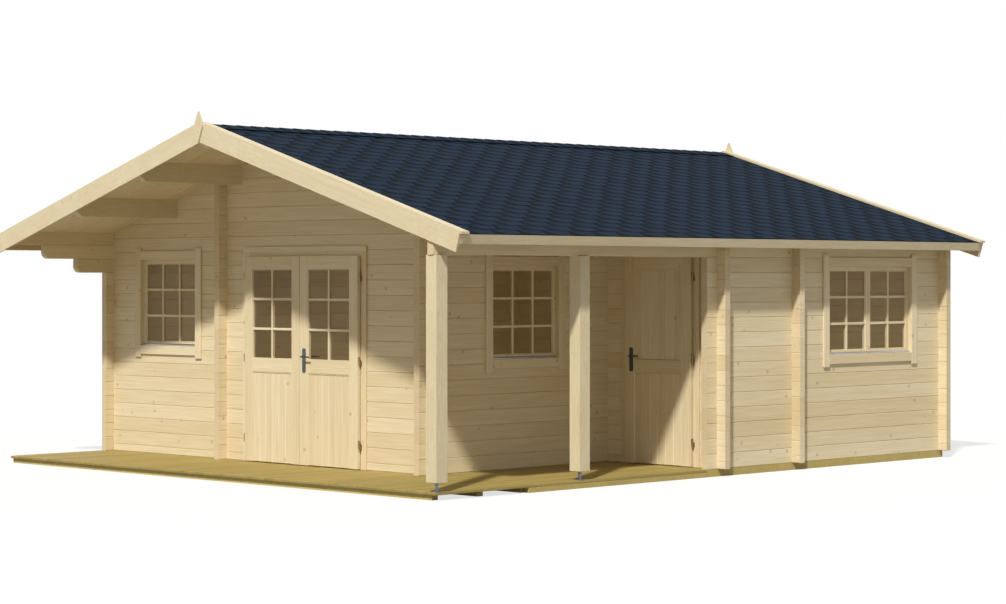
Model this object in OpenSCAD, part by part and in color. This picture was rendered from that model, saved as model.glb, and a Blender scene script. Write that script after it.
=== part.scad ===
// Log garden house with a front terrace, a side porch and a low gable roof.
// Millimetres, +Z up. The origin lies on the ground, on the front wall's axis in the
// middle of the double doorway; +Y runs into the house. The sizes below count heights
// from the deck and lengths from the front wall's face, and place() sets them down.

/* [Logs] */
// Thickness of a wall log
log_t = 70; // [64:1:76]
// Height of one log course
log_h = 140; // [138:1:142]
// Depth of the V joint between two courses
groove = 5; // [3:0.5:7]
// How far log ends stand out past a crossing wall
end_out = 100; // [80:5:120]

/* [House] */
// Width over the outer faces of the side walls
house_w = 6100; // [6000:10:6300]
// Length from the front wall's face to the back wall's face
house_l = 6000; // [5900:10:6300]
// Width of the side porch with the right wall's thickness
porch_w = 1365; // [1350:5:1420]
// Length of the side porch behind the front wall's face
porch_l = 2400; // [2350:10:2450]
// Length of the right wall's short wing beside the porch door
wing_l = 140; // [110:10:240]
// Left wall's outer face to the middle of the front partition
partition_at = 1865; // [1820:5:1900]
// Back wall's inner face to the rear partition
rear_at = 2345; // [2300:5:2400]

/* [Roof] */
// Pitch of both slopes in degrees
pitch = 17; // [15:0.5:19]
// Height of the side walls at their outer face
wall_h = 2205; // [2190:5:2220]
// Overhang of the eaves past the side walls
eaves_out = 330; // [280:10:380]
// Overhang of the roof past the front wall
front_out = 1250; // [1240:5:1300]
// Overhang of the roof past the back wall
back_out = 250; // [200:10:300]
// Thickness of the roof boards
board_t = 19; // [16:1:24]
// Thickness of the shingle covering
shingle_t = 8; // [6:1:12]
// Depth of the barge boards, square to the slope
barge_h = 160; // [140:5:180]
// Thickness of barge boards, fascias and verge caps
trim_board_t = 20; // [16:1:24]
// Width of the verge caps
cap_w = 95; // [80:5:110]
// Height of the eaves fascias
fascia_h = 84; // [75:1:100]
// Ridge to the middle of an upper purlin
upper_at = 955; // [930:5:980]
// Ridge to the middle of a lower purlin
lower_at = 1972; // [1950:5:2000]
// Height of a side purlin
purlin_h = 185; // [170:5:195]
// Height of the ridge purlin
ridge_h = 190; // [175:1:205]

/* [Deck] */
// Depth of the terrace in front of the house
deck_out = 1210; // [1205:1:1230]
// Thickness of deck and floor boards
floor_t = 26; // [22:1:32]
// Height of the bearers below the deck
bearer_h = 45; // [40:1:60]
// Width of all bearers
bearer_w = 70; // [60:1:76]

/* [Posts] */
// Side of a square porch post
post_w = 125; // [110:1:130]
// Distance between the two porch posts
post_gap = 1733; // [1700:1:1800]
// Height of the steel post feet
foot_h = 80; // [60:1:100]

/* [Doors] */
// Width of the double doorway in the wall
double_w = 1660; // [1640:5:1700]
// Width of the porch doorway in the wall
single_w = 853; // [840:1:870]
// Thickness of a door leaf
leaf_t = 38; // [34:1:42]
// Width of a leaf's stiles
stile_w = 115; // [105:1:125]
// Height of the leaf's middle rail over the deck
lock_z = 870; // [850:5:900]

/* [Windows] */
// Clear width of a single window
single_win_w = 880; // [850:5:900]
// Clear width of the two-sash window
double_win_w = 1355; // [1330:5:1380]
// Clear height of all windows
win_h = 860; // [840:5:880]
// Clear sill height in the side walls
win_z = 1018; // [1000:1:1030]
// Width of the boards round doors and windows
casing_w = 90; // [80:1:95]

/* [Hidden] */
$fn = 48;

// Overshoot of cutting tools, and the joint left between like pieces
slack = 1;
// Running gap round a door leaf
leaf_gap = 5;
// Bedding joint between the roof boards and what carries them
bedding = 0.3;

// Plan
half_w = house_w / 2;
inner_x = half_w - log_t;
porch_x = half_w - porch_w;
back_y = house_l - log_t;
cross_y = back_y - rear_at - log_t;
part_x = partition_at - half_w - log_t / 2;
wing_y = porch_l - wing_l;

// Heights set by the courses: plate bottom, door heads
plate_courses = 14;
plate_z = plate_courses * log_h;
head_z = plate_z + log_h / 2;

// Roof lines
slope = tan(pitch);
eaves_x = half_w + eaves_out;
ridge_z = wall_h + half_w * slope;
board_v = board_t / cos(pitch);
shingle_v = shingle_t / cos(pitch);
cap_v = trim_board_t / cos(pitch);
front_y = -front_out;
rear_y = house_l + back_out;
ridge_cap_w = 160;
ridge_cap_t = 5;
purlin_xs = [-lower_at, -upper_at, 0, upper_at, lower_at];
purlin_cut_l = 75;
purlin_cut_h = 60;

// Stepped log ends that carry the roof over the terrace on the left
corbel_step = 390;
corbel_low = 460;
corbel_r = 65;

// Floor
bearer_z = -floor_t - bearer_h;
joist_pitch = 600;
deck_lip = 30;
wall_lip = 60;
first_bearer = deck_lip - deck_out;
last_bearer = -wall_lip - bearer_w;

// Posts
post_x = half_w - log_t / 2;
post_inset = 30;
post_front = front_out - post_inset;
post_ys = [post_w / 2 - post_front, post_w / 2 - post_front + post_gap];
foot_plate = 70;
foot_plate_t = 6;
foot_rod_r = 12;

// Doors
jamb_t = 45;
head_t = 75;
leaf_lap = 27;
head_lap = 20;
frame_proud = 15;
frame_in = 15;
casing_t = 20;
sill_t = 25;
leaf_foot = 6;
rail_h = 125;
panel_set = 8;
glass_t = 4;
leaf_top = head_z - head_t + head_lap;
leaf_back = -frame_proud - leaf_gap;
leaf_front = leaf_back - leaf_t;
pair_half = double_w / 2 - jamb_t + leaf_lap;
meet_gap = 6;
single_leaf = single_w - 2 * jamb_t + 2 * leaf_lap;
porch_door_at = 683;
porch_door_x = porch_x + porch_door_at;
porch_leaf_x0 = porch_door_x - single_leaf / 2;
porch_leaf_x1 = porch_door_x + single_leaf / 2;

// Hinges
axis_out = 14;
axis_y = leaf_front + 13;
knuckle_r = 8;
knuckle_h = 40;
pin_r = 5;
pin_fit = 0.3;
hinge_arm_t = 4;
hinge_zs = [190, 960, 1740];

// Handles
plate_w = 46;
plate_h = 230;
plate_t = 7;
plate_z0 = 877;
spindle_z = 1027;
lever_out = 48;
lever_l = 125;
lever_r = 9;
handle_in = 66;
porch_handle_in = 80;

// Windows
lining_t = 20;
lining_in = 25;
sash_y = 26;
sash_t = 40;
sash_w = 38;
sash_gap = 4;
half_sash = (double_win_w - sash_gap) / 2;
casing_over = 30;
front_win_z = win_z + log_h / 2;
front_win_at = 910;
front_win_x = front_win_at - inner_x;
porch_win_y = 1258;
side_win_at = 1168;
side_win_y = back_y - side_win_at;

// Height of the roof boards' underside over a point
function under(x) = wall_h + (half_w - abs(x)) * slope;
// Heights of the course joints between two levels
function seams(z0, z1, shift) =
    [for (z = [shift : log_h : z1]) if (z > z0 + groove && z < z1 - groove) z];
// Section of a log stack, V joints on both faces
function stack_points(z0, z1, shift) = let (s = seams(z0, z1, shift), n = len(s)) concat(
    [[groove, z0], [0, z0 + groove]],
    [for (z = s) each [[0, z - groove], [groove, z], [0, z + groove]]],
    [[0, z1 - groove], [groove, z1], [log_t - groove, z1], [log_t, z1 - groove]],
    [for (i = [1 : n]) let (z = s[n - i])
        each [[log_t, z + groove], [log_t - groove, z], [log_t, z - groove]]],
    [[log_t, z0 + groove], [log_t - groove, z0]]);

// Sets a piece down on the ground, under the front wall's axis
module place() {
    translate([0, -log_t / 2, -bearer_z])
        children();
}

// A box given by two opposite corners
module box(a, b) {
    translate(a)
        cube(b - a);
}

// Logs lying along X, half a course higher than the ones along Y
module logs_x(x0, x1, y0, z0, z1) {
    translate([x0, y0, 0])
        rotate([90, 0, 90])
            linear_extrude(x1 - x0)
                polygon(stack_points(z0, z1, log_h / 2));
}

// Logs lying along Y
module logs_y(x0, y0, y1, z0, z1) {
    translate([x0, y1, 0])
        rotate([90, 0, 0])
            linear_extrude(y1 - y0)
                polygon(stack_points(z0, z1, 0));
}

// Quarter laps cut from logs along Y where a wall along X crosses
module laps_y(x0, y0) {
    for (z = [0 : log_h : ridge_z])
        box([x0 - slack, y0, z - log_h / 4], [x0 + log_t + slack, y0 + log_t, z + log_h / 4]);
}

// Quarter laps cut from logs along X where a wall along Y crosses
module laps_x(x0, y0) {
    for (z = [log_h / 2 : log_h : ridge_z])
        box([x0, y0 - slack, z - log_h / 4], [x0 + log_t, y0 + log_t + slack, z + log_h / 4]);
}

// Everything that lies below the roof boards
module under_roof() {
    translate([0, rear_y + log_h, 0])
        rotate([90, 0, 0])
            linear_extrude(house_l + front_out + back_out + 2 * log_h)
                polygon([[-eaves_x - log_h, bearer_z], [eaves_x + log_h, bearer_z],
                    [eaves_x + log_h, under(eaves_x + log_h) - bedding], [0, ridge_z - bedding],
                    [-eaves_x - log_h, under(eaves_x + log_h) - bedding]]);
}

// Seats of the purlins in a wall along X
module purlin_seats(y0) {
    for (x = purlin_xs)
        box([x - log_t / 2, y0 - slack, purlin_base(x)],
            [x + log_t / 2, y0 + log_t + slack, ridge_z + log_h]);
}

// Underside of a purlin
function purlin_base(x) = x == 0 ? ridge_z - ridge_h : under(abs(x) - log_t / 2) - purlin_h;

// A layer on one slope, side -1 left or 1 right, from rise z over the boards' underside
module slope_layer(side, x0, x1, y0, y1, z, t) {
    translate([0, y1, 0])
        rotate([90, 0, 0])
            linear_extrude(y1 - y0)
                polygon([[side * x0, under(x0) + z], [side * x1, under(x1) + z],
                    [side * x1, under(x1) + z + t], [side * x0, under(x0) + z + t]]);
}

// Bearers below the walls
module sill_bearers() {
    place() color("tan") {
        box([-half_w, 0, bearer_z], [porch_x, bearer_w, 0]);
        box([-half_w, bearer_w + slack, bearer_z], [bearer_w - half_w, house_l - bearer_w - slack, 0]);
        box([-half_w, house_l - bearer_w, bearer_z], [half_w, house_l, 0]);
        box([half_w - bearer_w, wing_y, bearer_z], [half_w, house_l - bearer_w - slack, 0]);
        box([porch_x - bearer_w, bearer_w + slack, bearer_z], [porch_x, porch_l + bearer_w, 0]);
        box([porch_x + slack, porch_l, bearer_z], [half_w - bearer_w - slack, porch_l + bearer_w, 0]);
        box([part_x, bearer_w + slack, bearer_z], [part_x + bearer_w, porch_l + log_t, 0]);
        box([porch_x, cross_y, bearer_z], [half_w - bearer_w - slack, cross_y + bearer_w, 0]);
    }
}

// Bearers below the decks and joists below the floor
module deck_bearers() {
    place() color("tan") {
        for (y = [first_bearer, (first_bearer + last_bearer) / 2, last_bearer])
            box([-half_w, y, bearer_z], [half_w - bearer_w, y + bearer_w, -floor_t]);
        box([half_w - bearer_w, last_bearer + bearer_w / 2, bearer_z], [half_w, wing_y - slack, -floor_t]);
        for (y = [joist_pitch : joist_pitch : porch_l - joist_pitch])
            box([porch_x + slack, y, bearer_z], [half_w - bearer_w - slack, y + bearer_w, -floor_t]);
        for (x = [joist_pitch / 2 - half_w : joist_pitch : part_x - bearer_w])
            box([x, bearer_w + slack, bearer_z], [x + bearer_w, house_l - bearer_w - slack, -floor_t]);
        for (x = [part_x + joist_pitch / 2 : joist_pitch : porch_x - 2 * bearer_w - slack])
            box([x, bearer_w + slack, bearer_z], [x + bearer_w, house_l - bearer_w - slack, -floor_t]);
        for (x = [porch_x + joist_pitch / 2 : joist_pitch : inner_x - bearer_w])
            box([x, cross_y + bearer_w + slack, bearer_z],
                [x + bearer_w, house_l - bearer_w - slack, -floor_t]);
        for (x = [porch_x + joist_pitch / 2 : joist_pitch : inner_x - bearer_w])
            box([x, porch_l + bearer_w + slack, bearer_z], [x + bearer_w, cross_y - slack, -floor_t]);
    }
}

// Terrace in front of the house
module terrace_deck() {
    place() color("burlywood")
        box([-half_w, -deck_out, -floor_t], [half_w, 0, 0]);
}

// Deck of the side porch, notched round the right wall's wing
module porch_deck() {
    place() color("burlywood")
        difference() {
            box([porch_x, 0, -floor_t], [half_w, porch_l, 0]);
            box([half_w - bearer_w - slack, wing_y - slack, bearer_z],
                [half_w + slack, porch_l + slack, slack]);
        }
}

// Board floor of the rooms
module room_floor() {
    place() color("wheat") {
        difference() {
            union() {
                box([bearer_w - half_w, bearer_w, -floor_t],
                    [porch_x - bearer_w, house_l - bearer_w, 0]);
                box([0, porch_l + bearer_w, -floor_t], [porch_x, house_l - bearer_w, 0]);
            }
            box([part_x - slack, 0, bearer_z],
                [part_x + bearer_w + slack, porch_l + log_t + slack, slack]);
        }
        box([porch_x + slack, porch_l + bearer_w, -floor_t],
            [half_w - bearer_w, cross_y, 0]);
        box([porch_x + slack, cross_y + bearer_w, -floor_t],
            [half_w - bearer_w, house_l - bearer_w, 0]);
    }
}

// Rounds the lower front corner of a corbel log that ends at y and lies at height z
module corbel_nose(y, z) {
    translate([-half_w - slack, y, z])
        difference() {
            translate([0, -slack, -slack])
                cube([log_t + 2 * slack, corbel_r + slack, corbel_r + slack]);
            translate([-slack, corbel_r, corbel_r])
                rotate([0, 90, 0])
                    cylinder(r = corbel_r, h = log_t + 4 * slack);
        }
}

// Left wall with three corbelled logs under the roof's front overhang
module left_wall() {
    place() color("peru")
        difference() {
            intersection() {
                union() {
                    logs_y(-half_w, -end_out, house_l + end_out, 0, ridge_z);
                    logs_y(-half_w, -corbel_low, log_t, plate_z - log_h, plate_z);
                    logs_y(-half_w, -corbel_low - corbel_step, log_t, plate_z, plate_z + log_h);
                    logs_y(-half_w, front_y + trim_board_t, log_t,
                        plate_z + log_h, plate_z + 2 * log_h);
                }
                under_roof();
            }
            laps_y(-half_w, 0);
            laps_y(-half_w, back_y);
            corbel_nose(-corbel_low, plate_z - log_h);
            corbel_nose(-corbel_low - corbel_step, plate_z);
        }
}

// Right wall below the plate
module right_wall() {
    place() color("peru")
        difference() {
            logs_y(inner_x, wing_y, house_l + end_out, 0, plate_z);
            laps_y(inner_x, porch_l);
            laps_y(inner_x, cross_y);
            laps_y(inner_x, back_y);
            at_side_window()
                window_hole(double_win_w);
        }
}

// Plate logs of the right wall, running on over the porch posts
module right_plate() {
    place() color("peru")
        difference() {
            intersection() {
                logs_y(inner_x, front_y + trim_board_t, house_l + end_out, plate_z, plate_z + 2 * log_h);
                under_roof();
            }
            laps_y(inner_x, porch_l);
            laps_y(inner_x, cross_y);
            laps_y(inner_x, back_y);
        }
}

// Front wall left of the double doorway
module front_wall_left() {
    place() color("peru")
        difference() {
            logs_x(-half_w - end_out, -double_w / 2, 0, 0, head_z);
            laps_x(-half_w, 0);
            laps_x(part_x, 0);
            at_front_window()
                window_hole(single_win_w);
        }
}

// Front wall right of the double doorway
module front_wall_right() {
    place() color("peru")
        difference() {
            logs_x(double_w / 2, porch_x + end_out, 0, 0, head_z);
            laps_x(porch_x - log_t, 0);
        }
}

// Front gable over the doorway, running on over the porch
module front_gable() {
    place() color("peru")
        difference() {
            intersection() {
                logs_x(-half_w - end_out, inner_x, 0, head_z, ridge_z + log_h);
                under_roof();
            }
            box([porch_x + end_out, -slack, 0], [half_w, log_t + slack, head_z + log_h]);
            laps_x(-half_w, 0);
            laps_x(part_x, 0);
            laps_x(porch_x - log_t, 0);
            purlin_seats(0);
        }
}

// Wall between the rooms and the side porch
module porch_side_wall() {
    place() color("peru")
        difference() {
            intersection() {
                logs_y(porch_x - log_t, -end_out, porch_l + log_t + end_out, 0, ridge_z);
                under_roof();
            }
            laps_y(porch_x - log_t, 0);
            laps_y(porch_x - log_t, porch_l);
            at_porch_window()
                window_hole(single_win_w);
        }
}

// Porch back wall left of its door
module porch_back_wall_left() {
    place() color("peru")
        difference() {
            logs_x(porch_x - log_t - end_out, porch_door_x - single_w / 2, porch_l, 0, head_z);
            laps_x(porch_x - log_t, porch_l);
        }
}

// Porch back wall right of its door
module porch_back_wall_right() {
    place() color("peru")
        difference() {
            logs_x(porch_door_x + single_w / 2, half_w + end_out, porch_l, 0, head_z);
            laps_x(inner_x, porch_l);
        }
}

// Porch back wall over its door, up to the roof
module porch_back_gable() {
    place() color("peru")
        difference() {
            intersection() {
                logs_x(porch_x - log_t - end_out, half_w + end_out, porch_l, head_z, ridge_z);
                under_roof();
            }
            laps_x(porch_x - log_t, porch_l);
            laps_x(inner_x, porch_l);
            purlin_seats(porch_l);
        }
}

// Two short partitions whose log ends show outside
module partition_walls() {
    place() color("peru") {
        difference() {
            intersection() {
                logs_y(part_x, -end_out, porch_l + log_t, 0, ridge_z);
                under_roof();
            }
            laps_y(part_x, 0);
        }
        difference() {
            intersection() {
                logs_x(porch_x, half_w + end_out, cross_y, 0, ridge_z);
                under_roof();
            }
            laps_x(inner_x, cross_y);
            purlin_seats(cross_y);
        }
    }
}

// Back wall with its gable
module back_wall() {
    place() color("peru")
        difference() {
            intersection() {
                logs_x(-half_w - end_out, half_w + end_out, back_y, 0, ridge_z + log_h);
                under_roof();
            }
            laps_x(-half_w, back_y);
            laps_x(inner_x, back_y);
            purlin_seats(back_y);
        }
}

// Five purlins with sloped ends, seated in the gables
module purlins() {
    place() color("peru")
        for (x = purlin_xs)
            intersection() {
                translate([x - log_t / 2, 0, 0])
                    rotate([90, 0, 90])
                        linear_extrude(log_t)
                            polygon(purlin_points(purlin_base(x)));
                under_roof();
            }
}

// Side view of a purlin with its base at height z
function purlin_points(z) = let (y0 = front_y + trim_board_t, y1 = rear_y - trim_board_t) [
    [y0, z + purlin_cut_h], [y0 + purlin_cut_l, z], [y1 - purlin_cut_l, z], [y1, z + purlin_cut_h],
    [y1, ridge_z + log_h], [y0, ridge_z + log_h]];

// Roof boards on the left slope
module roof_boards_left() {
    place() color("wheat")
        slope_layer(-1, 0, eaves_x - trim_board_t,
            front_y + trim_board_t, rear_y - trim_board_t, 0, board_v);
}

// Roof boards on the right slope
module roof_boards_right() {
    place() color("wheat")
        slope_layer(1, 0, eaves_x - trim_board_t,
            front_y + trim_board_t, rear_y - trim_board_t, 0, board_v);
}

// Shingle covering of the left slope
module shingles_left() {
    place() color("dimgray")
        slope_layer(-1, 0, eaves_x, front_y + trim_board_t, rear_y - trim_board_t, board_v, shingle_v);
}

// Shingle covering of the right slope
module shingles_right() {
    place() color("dimgray")
        slope_layer(1, 0, eaves_x, front_y + trim_board_t, rear_y - trim_board_t, board_v, shingle_v);
}

// Shingles bent over the ridge between the verge caps
module ridge_cap() {
    place() color("dimgray")
        union() {
            for (side = [-1, 1])
                slope_layer(side, 0, ridge_cap_w, front_y + cap_w + slack, rear_y - cap_w - slack,
                    board_v + shingle_v, ridge_cap_t);
        }
}

// One barge board, square-cut at the eaves, with a mitre at the ridge
module barge(side, y0) {
    drop = board_v + shingle_v - barge_h / cos(pitch);
    foot = barge_h * sin(pitch);
    translate([0, y0 + trim_board_t, 0])
        rotate([90, 0, 0])
            linear_extrude(trim_board_t)
                polygon([[side * slack / 2, under(slack / 2) + drop],
                    [side * (eaves_x - foot), under(eaves_x - foot) + drop],
                    [side * eaves_x, under(eaves_x) + board_v + shingle_v],
                    [side * slack / 2, under(slack / 2) + board_v + shingle_v]]);
}

// Barge boards of the front gable
module front_barge_boards() {
    place() color("burlywood")
        for (side = [-1, 1])
            barge(side, front_y);
}

// Barge boards of the back gable
module back_barge_boards() {
    place() color("burlywood")
        for (side = [-1, 1])
            barge(side, rear_y - trim_board_t);
}

// Boards laid flat over the verges
module verge_caps() {
    place() color("burlywood")
        for (y = [front_y, rear_y - cap_w], side = [-1, 1])
            slope_layer(side, slack / 2, eaves_x + trim_board_t,
                y, y + cap_w, board_v + shingle_v, cap_v);
}

// Boards that close both eaves
module eaves_fascias() {
    place() color("burlywood")
        for (side = [-1, 1])
            translate([0, rear_y - trim_board_t, 0])
                rotate([90, 0, 0])
                    linear_extrude(house_l + front_out + back_out - 2 * trim_board_t)
                        polygon([[side * (eaves_x - trim_board_t), under(eaves_x) + board_v - fascia_h],
                            [side * eaves_x, under(eaves_x) + board_v - fascia_h],
                            [side * eaves_x, under(eaves_x) + board_v],
                            [side * (eaves_x - trim_board_t), under(eaves_x - trim_board_t) + board_v]]);
}

// Kite-shaped boards that cover the mitres of the barge boards
module gable_finials() {
    kite_w = 56;
    kite_foot = 140;
    kite_top = 120;
    place() color("burlywood")
        for (y = [front_y - trim_board_t, rear_y])
            translate([0, y + trim_board_t, ridge_z])
                rotate([90, 0, 0])
                    linear_extrude(trim_board_t)
                        polygon([[0, -kite_foot], [kite_w, 0], [kite_w, cap_v], [0, kite_top + cap_v],
                            [-kite_w, cap_v], [-kite_w, 0]]);
}

// Square posts under the plate
module porch_posts() {
    place() color("burlywood")
        for (y = post_ys)
            box([post_x - post_w / 2, y - post_w / 2, foot_h],
                [post_x + post_w / 2, y + post_w / 2, plate_z]);
}

// Steel feet with a plate at both ends of a stud
module post_feet() {
    place() color("silver")
        for (y = post_ys)
            translate([post_x, y, 0])
                union() {
                    translate([-foot_plate / 2, -foot_plate / 2, 0])
                        cube([foot_plate, foot_plate, foot_plate_t]);
                    cylinder(r = foot_rod_r, h = foot_h);
                    translate([-foot_plate / 2, -foot_plate / 2, foot_h - foot_plate_t])
                        cube([foot_plate, foot_plate, foot_plate_t]);
                }
}

// Places of the windows: x runs along the wall, y into it, z up from the clear sill
module at_front_window() {
    translate([front_win_x - single_win_w / 2, 0, front_win_z])
        children();
}

module at_porch_window() {
    translate([porch_x, porch_win_y - single_win_w / 2, win_z])
        rotate([0, 0, 90])
            children();
}

module at_side_window() {
    translate([half_w, side_win_y - double_win_w / 2, win_z])
        rotate([0, 0, 90])
            children();
}

// Opening in a wall for a window of clear width w
module window_hole(w) {
    box([-lining_t, -log_t, -lining_t], [w + lining_t, 2 * log_t, win_h + lining_t]);
}

// Lining of the opening and the casing boards outside
module window_frame(w) {
    difference() {
        union() {
            box([-lining_t, -slack, -lining_t], [w + lining_t, log_t + lining_in, win_h + lining_t]);
            for (x = [-casing_w, w])
                box([x, -casing_t, -casing_w - casing_over],
                    [x + casing_w, 0, win_h + casing_w + casing_over]);
            box([-slack, -casing_t, -casing_w], [w + slack, 0, 0]);
            box([-slack, -casing_t, win_h], [w + slack, 0, win_h + casing_w]);
        }
        box([0, -log_t, 0], [w, 2 * log_t, win_h]);
    }
}

// One sash of clear width w without its bars
module sash(x0, w) {
    difference() {
        box([x0, sash_y, 0], [x0 + w, sash_y + sash_t, win_h]);
        box([x0 + sash_w, sash_y - slack, sash_w],
            [x0 + w - sash_w, sash_y + sash_t + slack, win_h - sash_w]);
    }
}

// Pane of one sash
module pane(x0, w) {
    box([x0 + sash_w, sash_y + (sash_t - glass_t) / 2, sash_w],
        [x0 + w - sash_w, sash_y + (sash_t + glass_t) / 2, win_h - sash_w]);
}

// Front window's lining and casing
module front_window_frame() {
    place() color("burlywood")
        at_front_window()
            window_frame(single_win_w);
}

// Porch window's lining and casing
module porch_window_frame() {
    place() color("burlywood")
        at_porch_window()
            window_frame(single_win_w);
}

// Right wall window's lining and casing
module side_window_frame() {
    place() color("burlywood")
        at_side_window()
            window_frame(double_win_w);
}

// Sashes of all windows
module window_sashes() {
    place() color("burlywood") {
        at_front_window()
            sash(0, single_win_w);
        at_porch_window()
            sash(0, single_win_w);
        at_side_window()
            for (x = [0, double_win_w - half_sash])
                sash(x, half_sash);
    }
}

// Panes of all windows
module window_glass() {
    place() color("lightblue", 0.4) {
        at_front_window()
            pane(0, single_win_w);
        at_porch_window()
            pane(0, single_win_w);
        at_side_window()
            for (x = [0, double_win_w - half_sash])
                pane(x, half_sash);
    }
}

// Door frame for a doorway of width w: jambs, head, threshold and casing boards
module door_frame(w) {
    half = w / 2;
    over = casing_w - casing_t - frame_proud;
    for (x = [-half, half - jamb_t])
        box([x, -frame_proud, 0], [x + jamb_t, log_t + frame_in, head_z]);
    box([-half, -frame_proud, head_z - head_t], [half, log_t + frame_in, head_z]);
    box([-half, -frame_proud, 0], [half, log_t + frame_in, sill_t]);
    for (x = [-half - over, half])
        box([x, -casing_t, 0], [x + over, 0, head_z]);
    box([-half - over, -casing_t, head_z - casing_t], [half + over, 0, head_z + casing_t + frame_proud]);
}

// Frame of the double door
module double_door_frame() {
    place() color("burlywood")
        difference() {
            union() {
                door_frame(double_w);
            }
            box([-double_w / 2 + jamb_t, -log_t, sill_t],
                [double_w / 2 - jamb_t, 2 * log_t, head_z - head_t]);
        }
}

// Frame of the porch door
module porch_door_frame() {
    place() color("burlywood")
        translate([porch_door_x, porch_l, 0])
            union() {
                door_frame(single_w);
            }
}

// A leaf between x0 and x1: stiles, rails and set-back board panels, glazed or boarded above
module leaf(x0, x1, glazed) {
    px0 = x0 + stile_w;
    px1 = x1 - stile_w;
    difference() {
        box([x0, leaf_front, leaf_foot], [x1, leaf_back, leaf_top]);
        box([px0, leaf_front - slack, leaf_foot - slack], [px1, leaf_front + panel_set, lock_z]);
        box([px0, leaf_back - panel_set, leaf_foot + rail_h], [px1, leaf_back + slack, lock_z]);
        if (glazed)
            box([px0, leaf_front - slack, lock_z + rail_h],
                [px1, leaf_back + slack, leaf_top - rail_h]);
        else {
            box([px0, leaf_front - slack, lock_z + rail_h],
                [px1, leaf_front + panel_set, leaf_top - rail_h]);
            box([px0, leaf_back - panel_set, lock_z + rail_h],
                [px1, leaf_back + slack, leaf_top - rail_h]);
        }
    }
}

// Pane in the upper field of a glazed leaf
module leaf_pane(x0, x1) {
    mid = (leaf_front + leaf_back) / 2;
    box([x0 + stile_w, mid - glass_t / 2, lock_z + rail_h],
        [x1 - stile_w, mid + glass_t / 2, leaf_top - rail_h]);
}

// Left leaf of the double door
module left_door_leaf() {
    place() color("wheat")
        leaf(-pair_half, -meet_gap / 2, true);
}

// Pane of the left leaf
module left_door_glass() {
    place() color("lightblue", 0.4)
        leaf_pane(-pair_half, -meet_gap / 2);
}

// Right leaf of the double door
module right_door_leaf() {
    place() color("wheat")
        leaf(meet_gap / 2, pair_half, true);
}

// Pane of the right leaf
module right_door_glass() {
    place() color("lightblue", 0.4)
        leaf_pane(meet_gap / 2, pair_half);
}

// Boarded leaf of the porch door
module porch_door_leaf() {
    place() color("wheat")
        translate([0, porch_l, 0])
            leaf(porch_leaf_x0, porch_leaf_x1, false);
}

// Lever on a long plate outside, and the like inside
module handle(x) {
    for (face = [leaf_front, leaf_back]) {
        dir = face == leaf_front ? -1 : 1;
        translate([x, face, 0])
            union() {
                translate([-plate_w / 2, dir > 0 ? 0 : -plate_t, plate_z0])
                    cube([plate_w, plate_t, plate_h]);
                translate([0, 0, spindle_z])
                    rotate([-90 * dir, 0, 0])
                        cylinder(r = lever_r, h = lever_out + lever_r);
                translate([0, dir * lever_out, spindle_z])
                    rotate([0, 90, 0])
                        cylinder(r = lever_r, h = lever_l);
            }
    }
}

// Lever set of the double door's right leaf
module right_door_handle() {
    place() color("dimgray")
        handle(handle_in);
}

// Lever set of the porch door
module porch_door_handle() {
    place() color("dimgray")
        translate([0, porch_l, 0])
            handle(porch_leaf_x0 + porch_handle_in);
}

// Fixed half of a hinge at (x, y): knuckle, pin and an arm back to the jamb
module hinge_pin(x, y, face) {
    for (z = hinge_zs)
        translate([x, y, z])
            union() {
                cylinder(r = knuckle_r, h = knuckle_h);
                cylinder(r = pin_r, h = 2 * knuckle_h);
                translate([-hinge_arm_t / 2, 0, 0])
                    cube([hinge_arm_t, face - y, knuckle_h]);
            }
}

// Moving half of a hinge: bored knuckle and an arm to the leaf's edge on side dir
module hinge_knuckle(x, y, dir) {
    for (z = hinge_zs)
        translate([x, y, z + knuckle_h + pin_fit])
            difference() {
                union() {
                    cylinder(r = knuckle_r, h = knuckle_h - pin_fit);
                    translate([dir > 0 ? 0 : -axis_out, -hinge_arm_t / 2, 0])
                        cube([axis_out, hinge_arm_t, knuckle_h - pin_fit]);
                }
                translate([0, 0, -slack])
                    cylinder(r = pin_r + pin_fit, h = knuckle_h + 2 * slack);
            }
}

// Fixed hinge halves of all three leaves
module door_hinge_pins() {
    place() color("gray") {
        hinge_pin(-pair_half - axis_out, axis_y, -frame_proud);
        hinge_pin(pair_half + axis_out, axis_y, -frame_proud);
        hinge_pin(porch_leaf_x1 + axis_out, porch_l + axis_y, porch_l - frame_proud);
    }
}

// Hinge halves on the left leaf
module left_leaf_hinges() {
    place() color("gray")
        hinge_knuckle(-pair_half - axis_out, axis_y, 1);
}

// Hinge halves on the right leaf
module right_leaf_hinges() {
    place() color("gray")
        hinge_knuckle(pair_half + axis_out, axis_y, -1);
}

// Hinge halves on the porch door
module porch_leaf_hinges() {
    place() color("gray")
        hinge_knuckle(porch_leaf_x1 + axis_out, porch_l + axis_y, -1);
}

sill_bearers();
deck_bearers();
terrace_deck();
porch_deck();
room_floor();
left_wall();
right_wall();
right_plate();
front_wall_left();
front_wall_right();
front_gable();
porch_side_wall();
porch_back_wall_left();
porch_back_wall_right();
porch_back_gable();
partition_walls();
back_wall();
purlins();
roof_boards_left();
roof_boards_right();
shingles_left();
shingles_right();
ridge_cap();
front_barge_boards();
back_barge_boards();
verge_caps();
eaves_fascias();
gable_finials();
porch_posts();
post_feet();
front_window_frame();
porch_window_frame();
side_window_frame();
window_sashes();
window_glass();
double_door_frame();
left_door_leaf();
left_door_glass();
right_door_leaf();
right_door_glass();
right_door_handle();
porch_door_frame();
porch_door_leaf();
porch_door_handle();
door_hinge_pins();
left_leaf_hinges();
right_leaf_hinges();
porch_leaf_hinges();
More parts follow.
